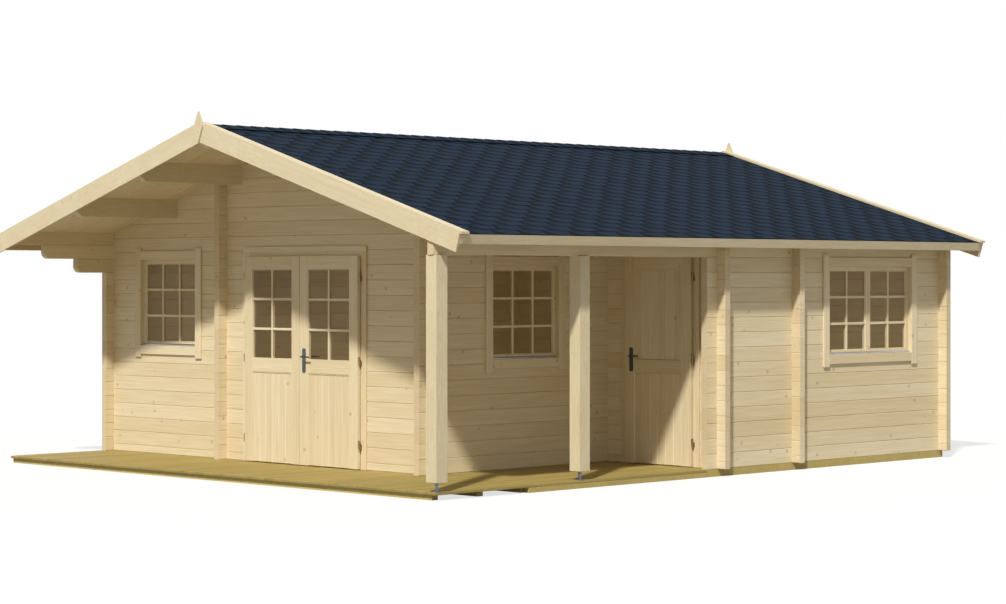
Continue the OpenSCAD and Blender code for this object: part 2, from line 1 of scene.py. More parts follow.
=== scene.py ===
"""Looks of a log garden house: boards, shingles, joinery, fittings, finishes and studio.

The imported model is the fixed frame. Log stacks, purlins, posts, barge boards, caps and finials stay and
get their finish; floors, roof covering, fascias, windows, doors and levers are made piece by piece.
"""
import math
import random
from functools import partial

import bmesh
import bpy
from mathutils import Matrix, Vector


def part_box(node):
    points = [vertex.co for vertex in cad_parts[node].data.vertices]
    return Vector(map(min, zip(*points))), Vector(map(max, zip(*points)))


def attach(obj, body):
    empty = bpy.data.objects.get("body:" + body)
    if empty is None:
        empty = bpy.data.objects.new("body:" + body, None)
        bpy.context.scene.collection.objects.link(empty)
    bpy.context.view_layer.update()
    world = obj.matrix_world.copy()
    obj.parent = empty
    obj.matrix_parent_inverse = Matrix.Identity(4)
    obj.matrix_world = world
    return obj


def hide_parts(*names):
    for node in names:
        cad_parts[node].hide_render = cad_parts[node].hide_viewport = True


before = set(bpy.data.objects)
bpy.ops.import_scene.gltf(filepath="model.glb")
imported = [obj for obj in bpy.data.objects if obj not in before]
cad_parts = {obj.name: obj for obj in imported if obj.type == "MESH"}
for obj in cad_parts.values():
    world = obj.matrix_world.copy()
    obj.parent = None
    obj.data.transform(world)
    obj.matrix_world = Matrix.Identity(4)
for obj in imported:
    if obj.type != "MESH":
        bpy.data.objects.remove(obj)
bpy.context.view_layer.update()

bl_info = {
    "name": "Log Garden House",
    "version": (1, 0, 0),
    "blender": (4, 5, 0),
    "location": "3D View > Sidebar > Garden House",
    "description": "Boards, shingles, joinery, fittings and finishes of a log garden house",
    "category": "Object",
}

# Levels and lines that come from the frame, in metres
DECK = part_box("terrace_deck")[1][2]
DECK_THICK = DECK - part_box("terrace_deck")[0][2]
DECK_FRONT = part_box("terrace_deck")[0][1]
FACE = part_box("front_gable")[0][1]
HALF_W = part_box("terrace_deck")[1][0]
BOARDS_LOW, BOARDS_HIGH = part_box("roof_boards_right")
ROOF_FRONT, ROOF_BACK = BOARDS_LOW[1] - FACE, BOARDS_HIGH[1] - FACE
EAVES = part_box("shingles_right")[1][0]

# Sizes of the solids that no box of the frame gives
PITCH = math.radians(17)
ROOF_BOARD = 0.019
SHINGLE = 0.008
LOG = 0.140
WALL = 0.070
PORCH_X = 1.685
PORCH_BACK = 2.400
# Outer and inner face of a door leaf, before the face of its wall
LEAF_OUT, LEAF_BACK = 0.058, 0.020
# Height of the window openings, and how far their sashes lie behind the face of the wall
WINDOW_TALL, SASH_OUT = 0.860, 0.026
# Eased edge of joinery boards
EASED = 0.003

# Underside of the roof boards at the ridge
RIDGE = BOARDS_HIGH[2] - ROOF_BOARD / math.cos(PITCH)
# Down the slope: square ends of the roof boards, and of the barge boards and fascias
BOARD_END = (BOARDS_HIGH[0] - ROOF_BOARD * math.sin(PITCH)) / math.cos(PITCH)
TRIM_END = (EAVES - (ROOF_BOARD + SHINGLE) * math.sin(PITCH)) / math.cos(PITCH)
# Front face of the rear partition
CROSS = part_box("partition_walls")[1][1] - FACE - WALL


def tone(hex_code):
    """Linear colour of an sRGB hex value."""
    parts = [int(hex_code[i:i + 2], 16) / 255 for i in (0, 2, 4)]
    return [c / 12.92 if c <= 0.04045 else ((c + 0.055) / 1.055) ** 2.4 for c in parts] + [1.0]


def length(label, words, default):
    """A size that a user can change."""
    return bpy.props.FloatProperty(name=label, description=words, default=default,
                                   min=0.0005, unit="LENGTH", precision=4)


def paint(label, words, hex_code):
    """A colour that a user can change."""
    return bpy.props.FloatVectorProperty(name=label, description=words, size=4, subtype="COLOR",
                                         min=0.0, max=1.0, default=tone(hex_code))


class HouseSizes(bpy.types.PropertyGroup):
    """Sizes of the boards, shingles and joinery."""
    arris: length("Arris", "Width of the eased edge on planed timber", 0.0025)
    deck_board: length("Deck Board", "Width of a deck board", 0.118)
    deck_gap: length("Deck Gap", "Open joint between deck boards", 0.005)
    floor_board: length("Floor Board", "Width of a room floor board", 0.112)
    roof_board: length("Roof Board", "Cover width of a roof board", 0.110)
    fascia: length("Fascia", "Height of an eaves fascia", 0.084)
    tab: length("Shingle Tab", "Width of one shingle tab", 0.310)
    exposure: length("Shingle Exposure", "Part of a course that stays in view", 0.1375)
    ridge_piece: length("Ridge Piece", "Part of a ridge shingle that stays in view", 0.170)
    bar: length("Glazing Bar", "Width of a glazing bar", 0.024)
    bead: length("Glazing Bead", "Width of the bead round a pane", 0.009)
    door_board: length("Door Board", "Cover width of a door board", 0.0965)
    screw: length("Screw Head", "Radius of a deck screw's head", 0.0042)
    nail: length("Nail Head", "Radius of a nail's head", 0.0030)


class HouseColours(bpy.types.PropertyGroup):
    """Colours of the timber, roof and fittings."""
    spruce_light: paint("Spruce Early Wood", "Pale wood of logs and boards", "E7D9B9")
    spruce_dark: paint("Spruce Late Wood", "Darker lines of the grain", "D0BC92")
    spruce_knot: paint("Spruce Knot", "Knots in the spruce", "9A7440")
    beam_light: paint("Beam Early Wood", "Pale wood of beams, posts and roof trim", "DED2B3")
    beam_dark: paint("Beam Late Wood", "Grain of beams, posts and roof trim", "C8B68E")
    # Colour of the painted shade in the V joint between two logs
    painted_joint_shade: paint("Log Joint", "Shade in the joint between two logs", "94784C")
    deck_light: paint("Deck Early Wood", "Impregnated pine between the grain lines", "B09A58")
    deck_dark: paint("Deck Late Wood", "Grain lines of impregnated pine", "88763A")
    deck_knot: paint("Deck Knot", "Knots in impregnated pine", "5C4820")
    bearer_light: paint("Bearer Early Wood", "Sawn impregnated pine of the bearers", "CDB974")
    bearer_dark: paint("Bearer Late Wood", "Grain of the bearers", "A5924C")
    shingle_light: paint("Shingle", "Granules on the lower half of a tab", "172535")
    shingle_dark: paint("Shingle Shade", "Printed shade between two tabs", "03080F")
    handle: paint("Handle Steel", "Dark steel of levers and plates", "60676A")
    hinge: paint("Hinge Steel", "Brown steel of the door hinges", "A0855A")
    zinc: paint("Zinc", "Zinc on feet, nails and screws", "7C8184")
    floor: paint("Studio Floor", "Pale floor under the house", "F2F2F0")


# Small tools for meshes

def sizes():
    """The sizes that the panel shows."""
    return bpy.context.scene.garden_house_sizes


def colours():
    """The colours that the panel shows."""
    return bpy.context.scene.garden_house_colours


def set_down(x, y, z):
    """A point counted from the deck and the front wall's face, in the frame."""
    return Vector((x, y + FACE, z + DECK))


def on_slope(side, down, along, lift):
    """A point on a roof slope: down from the ridge, along the house, lift off the boards' underside."""
    return Vector((side * (down * math.cos(PITCH) + lift * math.sin(PITCH)), along + FACE,
                   RIDGE - down * math.sin(PITCH) + lift * math.cos(PITCH)))


def circle(x, z, radius, count):
    """Points of a regular outline round a middle, in x and z."""
    turns = [k * 2 * math.pi / count for k in range(count)]
    return [(x + radius * math.cos(a), z + radius * math.sin(a)) for a in turns]


def put(name, data):
    """A new object in the scene."""
    made = bpy.data.objects.new(name, data)
    bpy.context.scene.collection.objects.link(made)
    return made


def put_mesh(name, maker, finishes):
    """Turns a bmesh into an object with its finishes."""
    mesh = bpy.data.meshes.new(name)
    maker.to_mesh(mesh)
    maker.free()
    for finish in finishes:
        mesh.materials.append(finish)
    return put(name, mesh)


def dress(maker, name, finishes, body, nodes=()):
    """Turns a bmesh into a piece with its finishes, its body and the nodes that it stands for."""
    piece = put_mesh(name, maker, finishes)
    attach(piece, body)
    if nodes:
        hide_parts(*nodes)


class Timber:
    """Boards that make up one piece, each with its own run of the grain and its own tint."""

    def __init__(self, name, wood, place=set_down, arris=None):
        self.name = name
        self.wood = wood
        self.place = place
        self.arris = arris or sizes().arris
        self.mesh = bmesh.new()
        self.mark = self.mesh.faces.layers.float.new("board")
        self.runs = []
        self.edges = {}
        self.chance = random.Random(name)

    def board(self, low, high, run, arris=None):
        """One board between two corners; run names the axis that its grain follows."""
        if run not in self.runs:
            self.runs.append(run)
        corners = [self.mesh.verts.new(self.place(x, y, z)) for x in (low[0], high[0])
                   for y in (low[1], high[1]) for z in (low[2], high[2])]
        tint = self.chance.random()
        sides = []
        for ring in ((0, 1, 3, 2), (4, 6, 7, 5), (0, 4, 5, 1), (2, 3, 7, 6), (0, 2, 6, 4), (1, 5, 7, 3)):
            side = self.mesh.faces.new([corners[i] for i in ring])
            side[self.mark] = tint
            side.material_index = self.runs.index(run)
            sides.append(side)
        self.edges.setdefault(arris or self.arris, []).extend({e for s in sides for e in s.edges})

    def done(self, body, nodes):
        """Eases all edges and hands over the piece."""
        bmesh.ops.recalc_face_normals(self.mesh, faces=self.mesh.faces)
        for arris, edges in self.edges.items():
            bmesh.ops.bevel(self.mesh, geom=edges, offset=arris, segments=1, affect="EDGES",
                            clamp_overlap=True)
        dress(self.mesh, self.name, [self.wood(run) for run in self.runs], body, nodes)


def heads(name, places, radius, proud=0.0008):
    """Low domed zinc heads of nails or screws at (point, outward direction) places, as one piece."""
    count, sunk, shoulder, rise = 8, 0.001, 0.9, 0.6
    mesh = bmesh.new()
    for point, out in places:
        out = Vector(out).normalized()
        across = out.orthogonal().normalized()
        other = out.cross(across)
        low, high = [], []
        for a, b in circle(0.0, 0.0, radius, count):
            turn = across * a + other * b
            low.append(mesh.verts.new(point + turn - out * sunk))
            high.append(mesh.verts.new(point + turn * shoulder + out * proud * rise))
        top = mesh.verts.new(point + out * proud)
        for i in range(count):
            j = (i + 1) % count
            mesh.faces.new((low[i], low[j], high[j], high[i]))
            mesh.faces.new((high[i], high[j], top))
        mesh.faces.new(low[::-1])
    bmesh.ops.recalc_face_normals(mesh, faces=mesh.faces)
    dress(mesh, name, [zinc_steel()], "house")


def sweep(mesh, path, radii, count=16):
    """A round bar along a path of points with one radius for each, closed at both ends."""
    rings = []
    across = None
    for i, (point, radius) in enumerate(zip(path, radii)):
        ahead = (path[min(i + 1, len(path) - 1)] - path[max(i - 1, 0)]).normalized()
        across = ahead.orthogonal() if across is None else across - ahead * across.dot(ahead)
        across.normalize()
        other = ahead.cross(across)
        rings.append([mesh.verts.new(point + across * a + other * b)
                      for a, b in circle(0.0, 0.0, radius, count)])
    for one, two in zip(rings, rings[1:]):
        for k in range(count):
            j = (k + 1) % count
            face = mesh.faces.new((one[k], one[j], two[j], two[k]))
            face.smooth = True
    mesh.faces.new(rings[0][::-1])
    mesh.faces.new(rings[-1])


def outline_plate(mesh, outline, back, front, place, arris=0.001):
    """A flat plate with a drawn outline in x and z, between two depths, with eased edges."""
    rear = [mesh.verts.new(place(x, back, z)) for x, z in outline]
    face = [mesh.verts.new(place(x, front, z)) for x, z in outline]
    made = [mesh.faces.new(rear), mesh.faces.new(face)]
    for i in range(len(outline)):
        j = (i + 1) % len(outline)
        made.append(mesh.faces.new((rear[i], rear[j], face[j], face[i])))
    bmesh.ops.recalc_face_normals(mesh, faces=made)
    rim = list(made[1].edges)
    bmesh.ops.bevel(mesh, geom=rim, offset=arris, segments=2, affect="EDGES", clamp_overlap=True)


# Small tools for materials

def fill(node, ins):
    """Gives a node's inputs, in order or by key, a value, a socket's link or a node's first output."""
    for key, value in (ins.items() if isinstance(ins, dict) else enumerate(ins)):
        if isinstance(value, bpy.types.Node):
            value = value.outputs[0]
        if isinstance(value, bpy.types.NodeSocket):
            node.id_data.links.new(value, node.inputs[key])
        else:
            node.inputs[key].default_value = value


def add_node(tree, kind, ins=(), **settings):
    """Adds one shader node with its settings and inputs."""
    made = tree.nodes.new("ShaderNode" + kind)
    for key, value in settings.items():
        setattr(made, key, value)
    fill(made, ins)
    return made


def blank(name):
    """A new material, the function that adds to its nodes, and its shader."""
    made = bpy.data.materials.new(name)
    made.use_nodes = True
    return made, partial(add_node, made.node_tree), made.node_tree.nodes["Principled BSDF"]


def blend(add, share, parts):
    """A share plus weighted parts, held between nought and one."""
    for part, weight in parts:
        share = add("Math", (part, weight, share), operation="MULTIPLY_ADD")
    share.use_clamp = True
    return share


def seen_directly(add):
    """One for rays from the camera, off metal or through glass, else nought."""
    path = add("LightPath")
    seen = path.outputs["Is Camera Ray"]
    for kind in ("Is Glossy Ray", "Is Transmission Ray"):
        seen = add("Math", (seen, path.outputs[kind]), operation="MAXIMUM")
    return seen


# Finishes

def grain_axes(add, here, run):
    """Sockets along the grain, across it, up, and of the normal's part along the grain."""
    x, y, z = add("SeparateXYZ", (here.outputs["Object"],)).outputs
    facing = add("SeparateXYZ", (here.outputs["Normal"],)).outputs
    if run == "slope":
        flat = add("Math", (x,), operation="ABSOLUTE")
        level = add("CombineXYZ", (flat, y, z))
        lean = add("VectorRotate", {"Vector": level, "Axis": (0, 1, 0), "Angle": -PITCH},
                   rotation_type="AXIS_ANGLE")
        x, y, z = add("SeparateXYZ", (lean,)).outputs
    return {"x": (x, y, z, facing[0]), "y": (y, x, z, facing[1]),
            "z": (z, x, y, facing[2]), "slope": (x, y, z, facing[0])}[run]


def log_courses(add, side, up, shift, stepped):
    """A random share for each log of each wall, and the painted shade in the joints between them."""
    base = DECK + shift
    if stepped:
        # The rear partition on the right lies half a course higher than the front one
        right = add("Math", (side, PORCH_X - LOG), operation="GREATER_THAN")
        base = add("Math", (right, LOG / 2, base), operation="MULTIPLY_ADD")
    above = add("Math", (up, base), operation="SUBTRACT")
    course = add("Math", (above, LOG), operation="DIVIDE")
    number = add("Math", (course,), operation="FLOOR")
    # Walls half a metre or more apart draw their own shares
    wall = add("Math", (side, 2.0), operation="MULTIPLY")
    wall = add("Math", (wall,), operation="ROUND")
    pick = add("CombineXYZ", (number, wall))
    own = add("TexWhiteNoise", {"Vector": pick}, noise_dimensions="2D").outputs["Value"]
    # The V joint between two logs gets painted shade 11 mm wide, standing in for the shade its depth
    # holds
    edge, core = 0.5 - 0.0055 / LOG, 0.5 - 0.001 / LOG
    part = add("Math", (course,), operation="FRACT")
    off = add("Math", (part, 0.5), operation="SUBTRACT")
    reach = add("Math", (off,), operation="ABSOLUTE")
    return own, add("MapRange", (reach, edge, core, 0.0, 0.16), interpolation_type="SMOOTHSTEP")


def wood(name, run, species, knot_species, rough, log_shift=None, solid=False):
    """Planed softwood whose grain follows one run: x, y, z or the roof's slope.

    Growth rings are 3 to 5 mm apart in the real wood; they are drawn 16 mm apart so that they show.
    """
    if name in bpy.data.materials:
        return bpy.data.materials[name]
    c = colours()
    light, dark = getattr(c, species + "_light"), getattr(c, species + "_dark")
    knot = getattr(c, knot_species + "_knot")
    ring_gap, apart = 0.016, 31.0
    made, add, shader = blank(name)
    here = add("TexCoord")
    along, side, up, end = grain_axes(add, here, run)
    joint_painted_shade = []
    # Each log or board has a tint and a stretch of grain of its own, up to 31 m from the others'
    if log_shift is not None:
        # joint is the mask of the painted shade in the V joints between logs
        own, joint = log_courses(add, side, up, log_shift, solid)
        joint_painted_shade.append((joint, c.painted_joint_shade))
    elif solid:
        own = add("TexNoise", {"Vector": here.outputs["Object"], "Scale": 0.45, "Detail": 1.0})
    else:
        own = add("Attribute", attribute_name="board").outputs["Fac"]
    start = add("Math", (own, apart, along), operation="MULTIPLY_ADD")
    spot = add("CombineXYZ", (start, side, up))

    # Knots about 30 mm across, some five to the square metre, in cells of 1/6 m
    knots = add("TexVoronoi", {"Vector": spot, "Scale": 6.0})
    far = knots.outputs["Distance"]
    pick = add("SeparateColor", (knots.outputs["Color"],))
    shown = add("Math", (pick, 0.35), operation="GREATER_THAN")
    core = add("MapRange", (far, 0.05, 0.15, 1.0, 0.0), interpolation_type="SMOOTHSTEP")
    knotty = add("Math", (core, shown), operation="MULTIPLY")
    bend = add("MapRange", (far, 0.05, 0.32, 1.1, 0.0), interpolation_type="SMOOTHSTEP")

    # Rings wander slowly along the grain and part round the knots
    stretched = add("VectorMath", (spot, (0.7, 5.0, 5.0)), operation="MULTIPLY")
    slow = add("TexNoise", {"Vector": stretched, "Scale": 1.0, "Detail": 2.0})
    lift = add("Math", (slow, 4.0, bend), operation="MULTIPLY_ADD")
    across = add("Math", (side, up), operation="ADD")
    count = add("Math", (across, 1 / ring_gap, lift), operation="MULTIPLY_ADD")
    turn = add("Math", (count, 2 * math.pi), operation="MULTIPLY")
    wave = add("Math", (turn,), operation="SINE")
    rings = add("MapRange", (wave, -0.1, 1.0), interpolation_type="SMOOTHSTEP")
    # Fibres 1 mm wide and half a metre long, drawn 20 mm wide so that they show
    stretched = add("VectorMath", (spot, (2.2, 50.0, 50.0)), operation="MULTIPLY")
    fibre = add("TexNoise", {"Vector": stretched, "Scale": 1.0, "Detail": 4.0})

    share = blend(add, -0.55, ((fibre, 1.0), (rings, 0.30), (slow, 0.5), (own, 0.42)))
    shade = add("Mix", {0: share, 6: light, 7: dark}, data_type="RGBA")
    # End grain and knots are browner, and the log joints get painted shade
    facing = add("Math", (end,), operation="ABSOLUTE")
    cut = add("MapRange", (facing, 0.75, 0.95, 0.0, 0.2))
    stain = add("Math", (knotty, 0.45), operation="MULTIPLY")
    for part, colour in [(cut, knot), (stain, knot)] + joint_painted_shade:
        shade = add("Mix", {0: part, 6: shade.outputs[2], 7: colour}, data_type="RGBA")
    gloss = add("MapRange", {"Value": fibre, "To Min": rough - 0.06, "To Max": rough + 0.08})
    height = add("Math", (rings, 0.4, fibre), operation="MULTIPLY_ADD")
    relief = add("Bump", {"Height": height, "Strength": 0.25, "Distance": 0.0012})
    fill(shader, {"Base Color": shade.outputs[2], "Roughness": gloss, "Normal": relief, "IOR": 1.50})
    return made


def log_spruce(run):
    """Planed spruce log: pale cream, long soft grain, a few brown knots, painted shade in the V joints.
    """
    shift = LOG / 2 if run == "x" else 0.0
    return wood("planed_spruce_log_" + run, run, "spruce", "spruce", 0.58, log_shift=shift)


def partition_spruce():
    """Planed spruce logs of the partitions: end grain outside, painted shade in the V joints."""
    return wood("planed_spruce_partition_log", "y", "spruce", "spruce", 0.58, log_shift=0.0, solid=True)


def board_spruce(run):
    """Planed spruce board: the logs' wood, cut thin, each board with its own tint."""
    return wood("planed_spruce_board_" + run, run, "spruce", "spruce", 0.55)


def beam_spruce(run):
    """Planed spruce beam: one long piece, its tint drifting slowly along it."""
    return wood("planed_spruce_beam_" + run, run, "beam", "spruce", 0.55, solid=True)


def deck_pine(run):
    """Pressure-impregnated pine: olive yellow from the salts, planed and dull."""
    return wood("impregnated_pine_" + run, run, "deck", "deck", 0.66)


def bearer_pine(run):
    """Impregnated pine bearers: the same salts on sawn wood, duller still."""
    return wood("sawn_impregnated_pine_" + run, run, "bearer", "deck", 0.75)


def bitumen_shingle():
    """Bitumen felt pressed with slate granules: dull dark blue grey, each tab shaded at its top."""
    name = "slate_bitumen_shingle"
    if name in bpy.data.materials:
        return bpy.data.materials[name]
    c = colours()
    made, add, shader = blank(name)
    here = add("TexCoord").outputs["Object"]
    # Granules are 1 mm across; they are drawn 5 mm across so that they show
    grit = add("TexNoise", {"Vector": here, "Scale": 200.0, "Detail": 2.0})
    cloud = add("TexNoise", {"Vector": here, "Scale": 3.0, "Detail": 3.0})
    own = add("Attribute", attribute_name="board").outputs["Fac"]
    fall = add("Attribute", attribute_name="fall").outputs["Fac"]
    lit = add("MapRange", (fall, 0.46, 0.60), interpolation_type="SMOOTHSTEP")
    share = blend(add, -0.28, ((grit, 0.3), (own, 0.3), (cloud, 0.2), (lit, 0.8)))
    shade = add("Mix", {0: share, 6: c.shingle_dark, 7: c.shingle_light}, data_type="RGBA")
    relief = add("Bump", {"Height": grit, "Strength": 0.5, "Distance": 0.001})
    fill(shader, {"Base Color": shade.outputs[2], "Normal": relief, "Roughness": 0.88,
                  "Specular IOR Level": 0.08})
    return made


def float_glass():
    """Clear float glass before a dark room: see-through, faintly brown, with a flat bright reflection."""
    name = "clear_float_glass"
    if name in bpy.data.materials:
        return bpy.data.materials[name]
    made, add, shader = blank(name)
    # Rolled waves some 0.4 m long keep the reflection from looking like a mirror
    wave = add("TexNoise", {"Vector": add("TexCoord").outputs["Object"], "Scale": 2.5, "Detail": 0.0})
    relief = add("Bump", {"Height": wave, "Strength": 0.03, "Distance": 0.01})
    fill(shader, {"Normal": relief, "Base Color": tone("7C6843"), "Roughness": 0.03, "IOR": 1.52,
                  "Alpha": 0.14})
    return made


def metal(name, colour, rough, cell):
    """A metal skin with fine cloudy patches of the given cell size in metres."""
    if name in bpy.data.materials:
        return bpy.data.materials[name]
    made, add, shader = blank(name)
    here = add("TexCoord").outputs["Object"]
    patch = add("TexNoise", {"Vector": here, "Scale": 1 / cell, "Detail": 2.0})
    gloss = add("MapRange", {"Value": patch, "To Min": rough - 0.1, "To Max": rough + 0.12})
    dim = add("MapRange", {"Value": patch, "To Min": 0.82, "To Max": 1.08})
    shade = add("Mix", {0: 1.0, 6: colour, 7: dim}, data_type="RGBA", blend_type="MULTIPLY")
    fill(shader, {"Base Color": shade.outputs[2], "Roughness": gloss, "Metallic": 1.0})
    return made


def handle_steel():
    """Blued, satin brushed steel: dark blue grey with a soft highlight."""
    return metal("blued_satin_steel", colours().handle, 0.38, 0.006)


def hinge_steel():
    """Brown passivated steel: dull bronze, as on plain hinge knuckles."""
    return metal("brown_passivated_steel", colours().hinge, 0.5, 0.006)


def mill_aluminium():
    """Extruded aluminium, left as drawn: bright grey with soft patches."""
    return metal("mill_finish_aluminium", tone("C9CDD2"), 0.35, 0.01)


def zinc_steel():
    """Hot-dip zinc on steel: pale grey spangles about 8 mm wide."""
    return metal("hot_dip_zinc_steel", colours().zinc, 0.48, 0.008)


def finish_node(name, finish, arris=0.0025):
    """Gives a node of the frame its finish and eased edges."""
    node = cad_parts[name]
    node.data.materials.clear()
    node.data.materials.append(finish)
    if arris:
        soften = node.modifiers.new("eased edges", "BEVEL")
        soften.width = arris
        soften.segments = 1
        soften.limit_method = "ANGLE"
        soften.angle_limit = math.radians(50)


# Studio

def set_camera(scene):
    """A long lens held level, its horizon a little above the middle."""
    eye = bpy.data.cameras.new("camera")
    eye.sensor_width = 36.0
    eye.lens = 90.05
    eye.shift_y = -0.0247
    eye.clip_end = 300.0
    scene.camera = put("camera", eye)
    scene.camera.location = (18.0368, -15.5764, 1.8457)
    scene.camera.rotation_euler = (math.radians(90), 0.0, math.radians(44.7327))


def set_lamps():
    """A key light like the sun, and soft fill that shows the rooms' wood through the panes."""
    sun = bpy.data.lights.new("key", "SUN")
    sun.energy = 3.75
    sun.angle = math.radians(3)
    sun.color = (1.0, 0.985, 0.955)
    # How the light travels, as read from the shadows of the eaves and the barge boards
    way = Vector((-0.500, 0.851, -1.000))
    put("key", sun).rotation_euler = way.to_track_quat("-Z", "Y").to_euler()
    height = 1.3
    for room, x, y, power in (("front", -2.1, 1.3, 5.0), ("main", 0.2, 1.7, 7.0),
                              ("back", -0.8, 4.2, 10.0), ("side", 2.33, 4.75, 5.0)):
        bulb = bpy.data.lights.new("fill_" + room, "POINT")
        bulb.energy = power
        bulb.color = (1.0, 0.93, 0.78)
        bulb.shadow_soft_size = 0.3
        lamp = put("fill_" + room, bulb)
        lamp.location = set_down(x, y, height)
        lamp.visible_camera = False
        lamp.visible_glossy = False
        lamp.visible_transmission = False


def set_floor():
    """A matt floor, white with a light shadow to the camera, metal and glass, dimmer to the walls."""
    made, add, shader = blank("matt_studio_floor")
    made.node_tree.nodes.remove(shader)
    matt = add("BsdfDiffuse", {"Color": colours().floor})
    glow = add("Emission", {"Color": (1, 1, 1, 1), "Strength": 1.0})
    white = add("MixShader", (0.72, matt, glow))
    dim = add("BsdfDiffuse", {"Color": tone("9E9A90")})
    both = add("MixShader", (seen_directly(add), dim, white))
    fill(made.node_tree.nodes["Material Output"], {"Surface": both})
    mesh = bmesh.new()
    bmesh.ops.create_grid(mesh, x_segments=1, y_segments=1, size=120.0)
    floor = put_mesh("studio_floor", mesh, [made])
    floor.location = (0.0, 2.4, -0.001)


def set_sky(scene):
    """A plain white surround that lights the house softly."""
    scene.world = bpy.data.worlds.new("studio")
    scene.world.use_nodes = True
    scene.world.node_tree.nodes.clear()
    add = partial(add_node, scene.world.node_tree)
    power = add("MapRange", {"Value": seen_directly(add), "To Min": 0.345, "To Max": 1.0})
    light = add("Background", {"Color": (1, 1, 1, 1), "Strength": power})
    add("OutputWorld", (light,))


# Roof

def eaves_fascias():
    """Fascias square to the slope, flush with the feet of the barge boards."""
    low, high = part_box("eaves_fascias")
    timber = Timber("square_eaves_fascias", beam_spruce)
    for side in (-1, 1):
        timber.place = partial(on_slope, side)
        timber.board((BOARD_END, low[1] - FACE, ROOF_BOARD - sizes().fascia),
                     (TRIM_END, high[1] - FACE, ROOF_BOARD), "y")
    timber.done("house", ["eaves_fascias"])


def trim_nails():
    """Two rows of nails in the barge boards, two nails in each finial, one row in each fascia."""
    finial, first, pitch = 0.02, 0.3, 0.6
    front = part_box("front_barge_boards")[0][1] - FACE
    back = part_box("back_barge_boards")[1][1] - FACE
    places = []
    for side in (-1, 1):
        for down in (0.25, 0.95, 1.65, 2.35, 3.05):
            for lift in (-0.015, -0.085):
                places.append((on_slope(side, down, front, lift), (0, -1, 0)))
                places.append((on_slope(side, down, back, lift), (0, 1, 0)))
    for y in (front - finial, back + finial):
        for z in (0.03, -0.05):
            places.append((Vector((0, y + FACE, RIDGE + z)), (0, math.copysign(1, y), 0)))
    for side in (-1, 1):
        step = front + first
        while step < back:
            places.append((on_slope(side, TRIM_END, step, ROOF_BOARD / 2),
                           (side * math.cos(PITCH), 0, -math.sin(PITCH))))
            step += pitch
    heads("trim_nails", places, sizes().nail)


def marked_mesh():
    """A mesh with the marks that the shingles' finish reads: tints of faces, falls of corners."""
    mesh = bmesh.new()
    return mesh, mesh.faces.layers.float.new("board"), mesh.verts.layers.float.new("fall")


def cover_slope(side, name):
    """Felt, a straight first course and the courses of tabs on one slope."""
    tab, show = sizes().tab, sizes().exposure
    # Heights of a tab's head, waist and foot over the boards, and how near the ridge each may lie
    head_lift, waist_lift, foot_lift = 0.0028, 0.0052, 0.0072
    head_top, waist_top, foot_top = 0.012, 0.016, 0.05
    thick, slit, least = 0.003, 0.002, 0.02
    mesh, tint, fall = marked_mesh()
    chance = random.Random(name)

    def plate(points, depth, own):
        """One sheet: points are (along, down, lift, fall), from its head round to its foot."""
        top, low = [], []
        for along, down, lift, share in points:
            top.append(mesh.verts.new(on_slope(side, down, along, ROOF_BOARD + lift)))
            low.append(mesh.verts.new(on_slope(side, down, along, ROOF_BOARD + lift - depth)))
            top[-1][fall] = share
        made = [mesh.faces.new(top), mesh.faces.new(low[::-1])]
        for i in range(len(top)):
            j = (i + 1) % len(top)
            made.append(mesh.faces.new((top[i], low[i], low[j], top[j])))
        for face in made:
            face[tint] = own

    # Felt under the courses and the straight first course at the eaves
    for head, foot, high, low, share, depth, own in (
            (0.004, TRIM_END - 0.01, 0.002, 0.002, 0.1, 0.0018, 0.2),
            (TRIM_END - 0.2, TRIM_END, 0.0025, 0.005, 0.3, thick, 0.3)):
        plate([(ROOF_FRONT, head, high, share), (ROOF_BACK, head, high, share),
               (ROOF_BACK, foot, low, share), (ROOF_FRONT, foot, low, share)], depth, own)
    for row in range(int(TRIM_END / show) + 1):
        foot = TRIM_END - row * show
        head = max(foot - 2 * show, head_top)
        waist = max(foot - show, waist_top)
        if foot < foot_top:
            continue
        middle = ROOF_FRONT - (tab / 2 if row % 2 else 0.0)
        while middle < ROOF_BACK + tab / 2:
            lift = foot_lift + chance.uniform(-0.0006, 0.0007)
            left, right = middle - tab / 2 + slit, middle + tab / 2 - slit
            shape = [(left, head, head_lift, 0.0), (right, head, head_lift, 0.0),
                     (right, waist, waist_lift, 0.5), (middle + tab / 4, foot, lift, 1.0),
                     (middle - tab / 4, foot, lift, 1.0), (left, waist, waist_lift, 0.5)]
            shape = [(min(max(a, ROOF_FRONT), ROOF_BACK), d, n, s) for a, d, n, s in shape]
            if max(p[0] for p in shape) - min(p[0] for p in shape) > least:
                # Every second course comes from a lighter batch
                plate(shape, thick, 0.6 * chance.random() + 0.4 * (row % 2))
            middle += tab
    bmesh.ops.recalc_face_normals(mesh, faces=mesh.faces)
    bmesh.ops.dissolve_degenerate(mesh, edges=mesh.edges, dist=0.0002)
    dress(mesh, "hexagonal_" + name, [bitumen_shingle()], "house", [name])


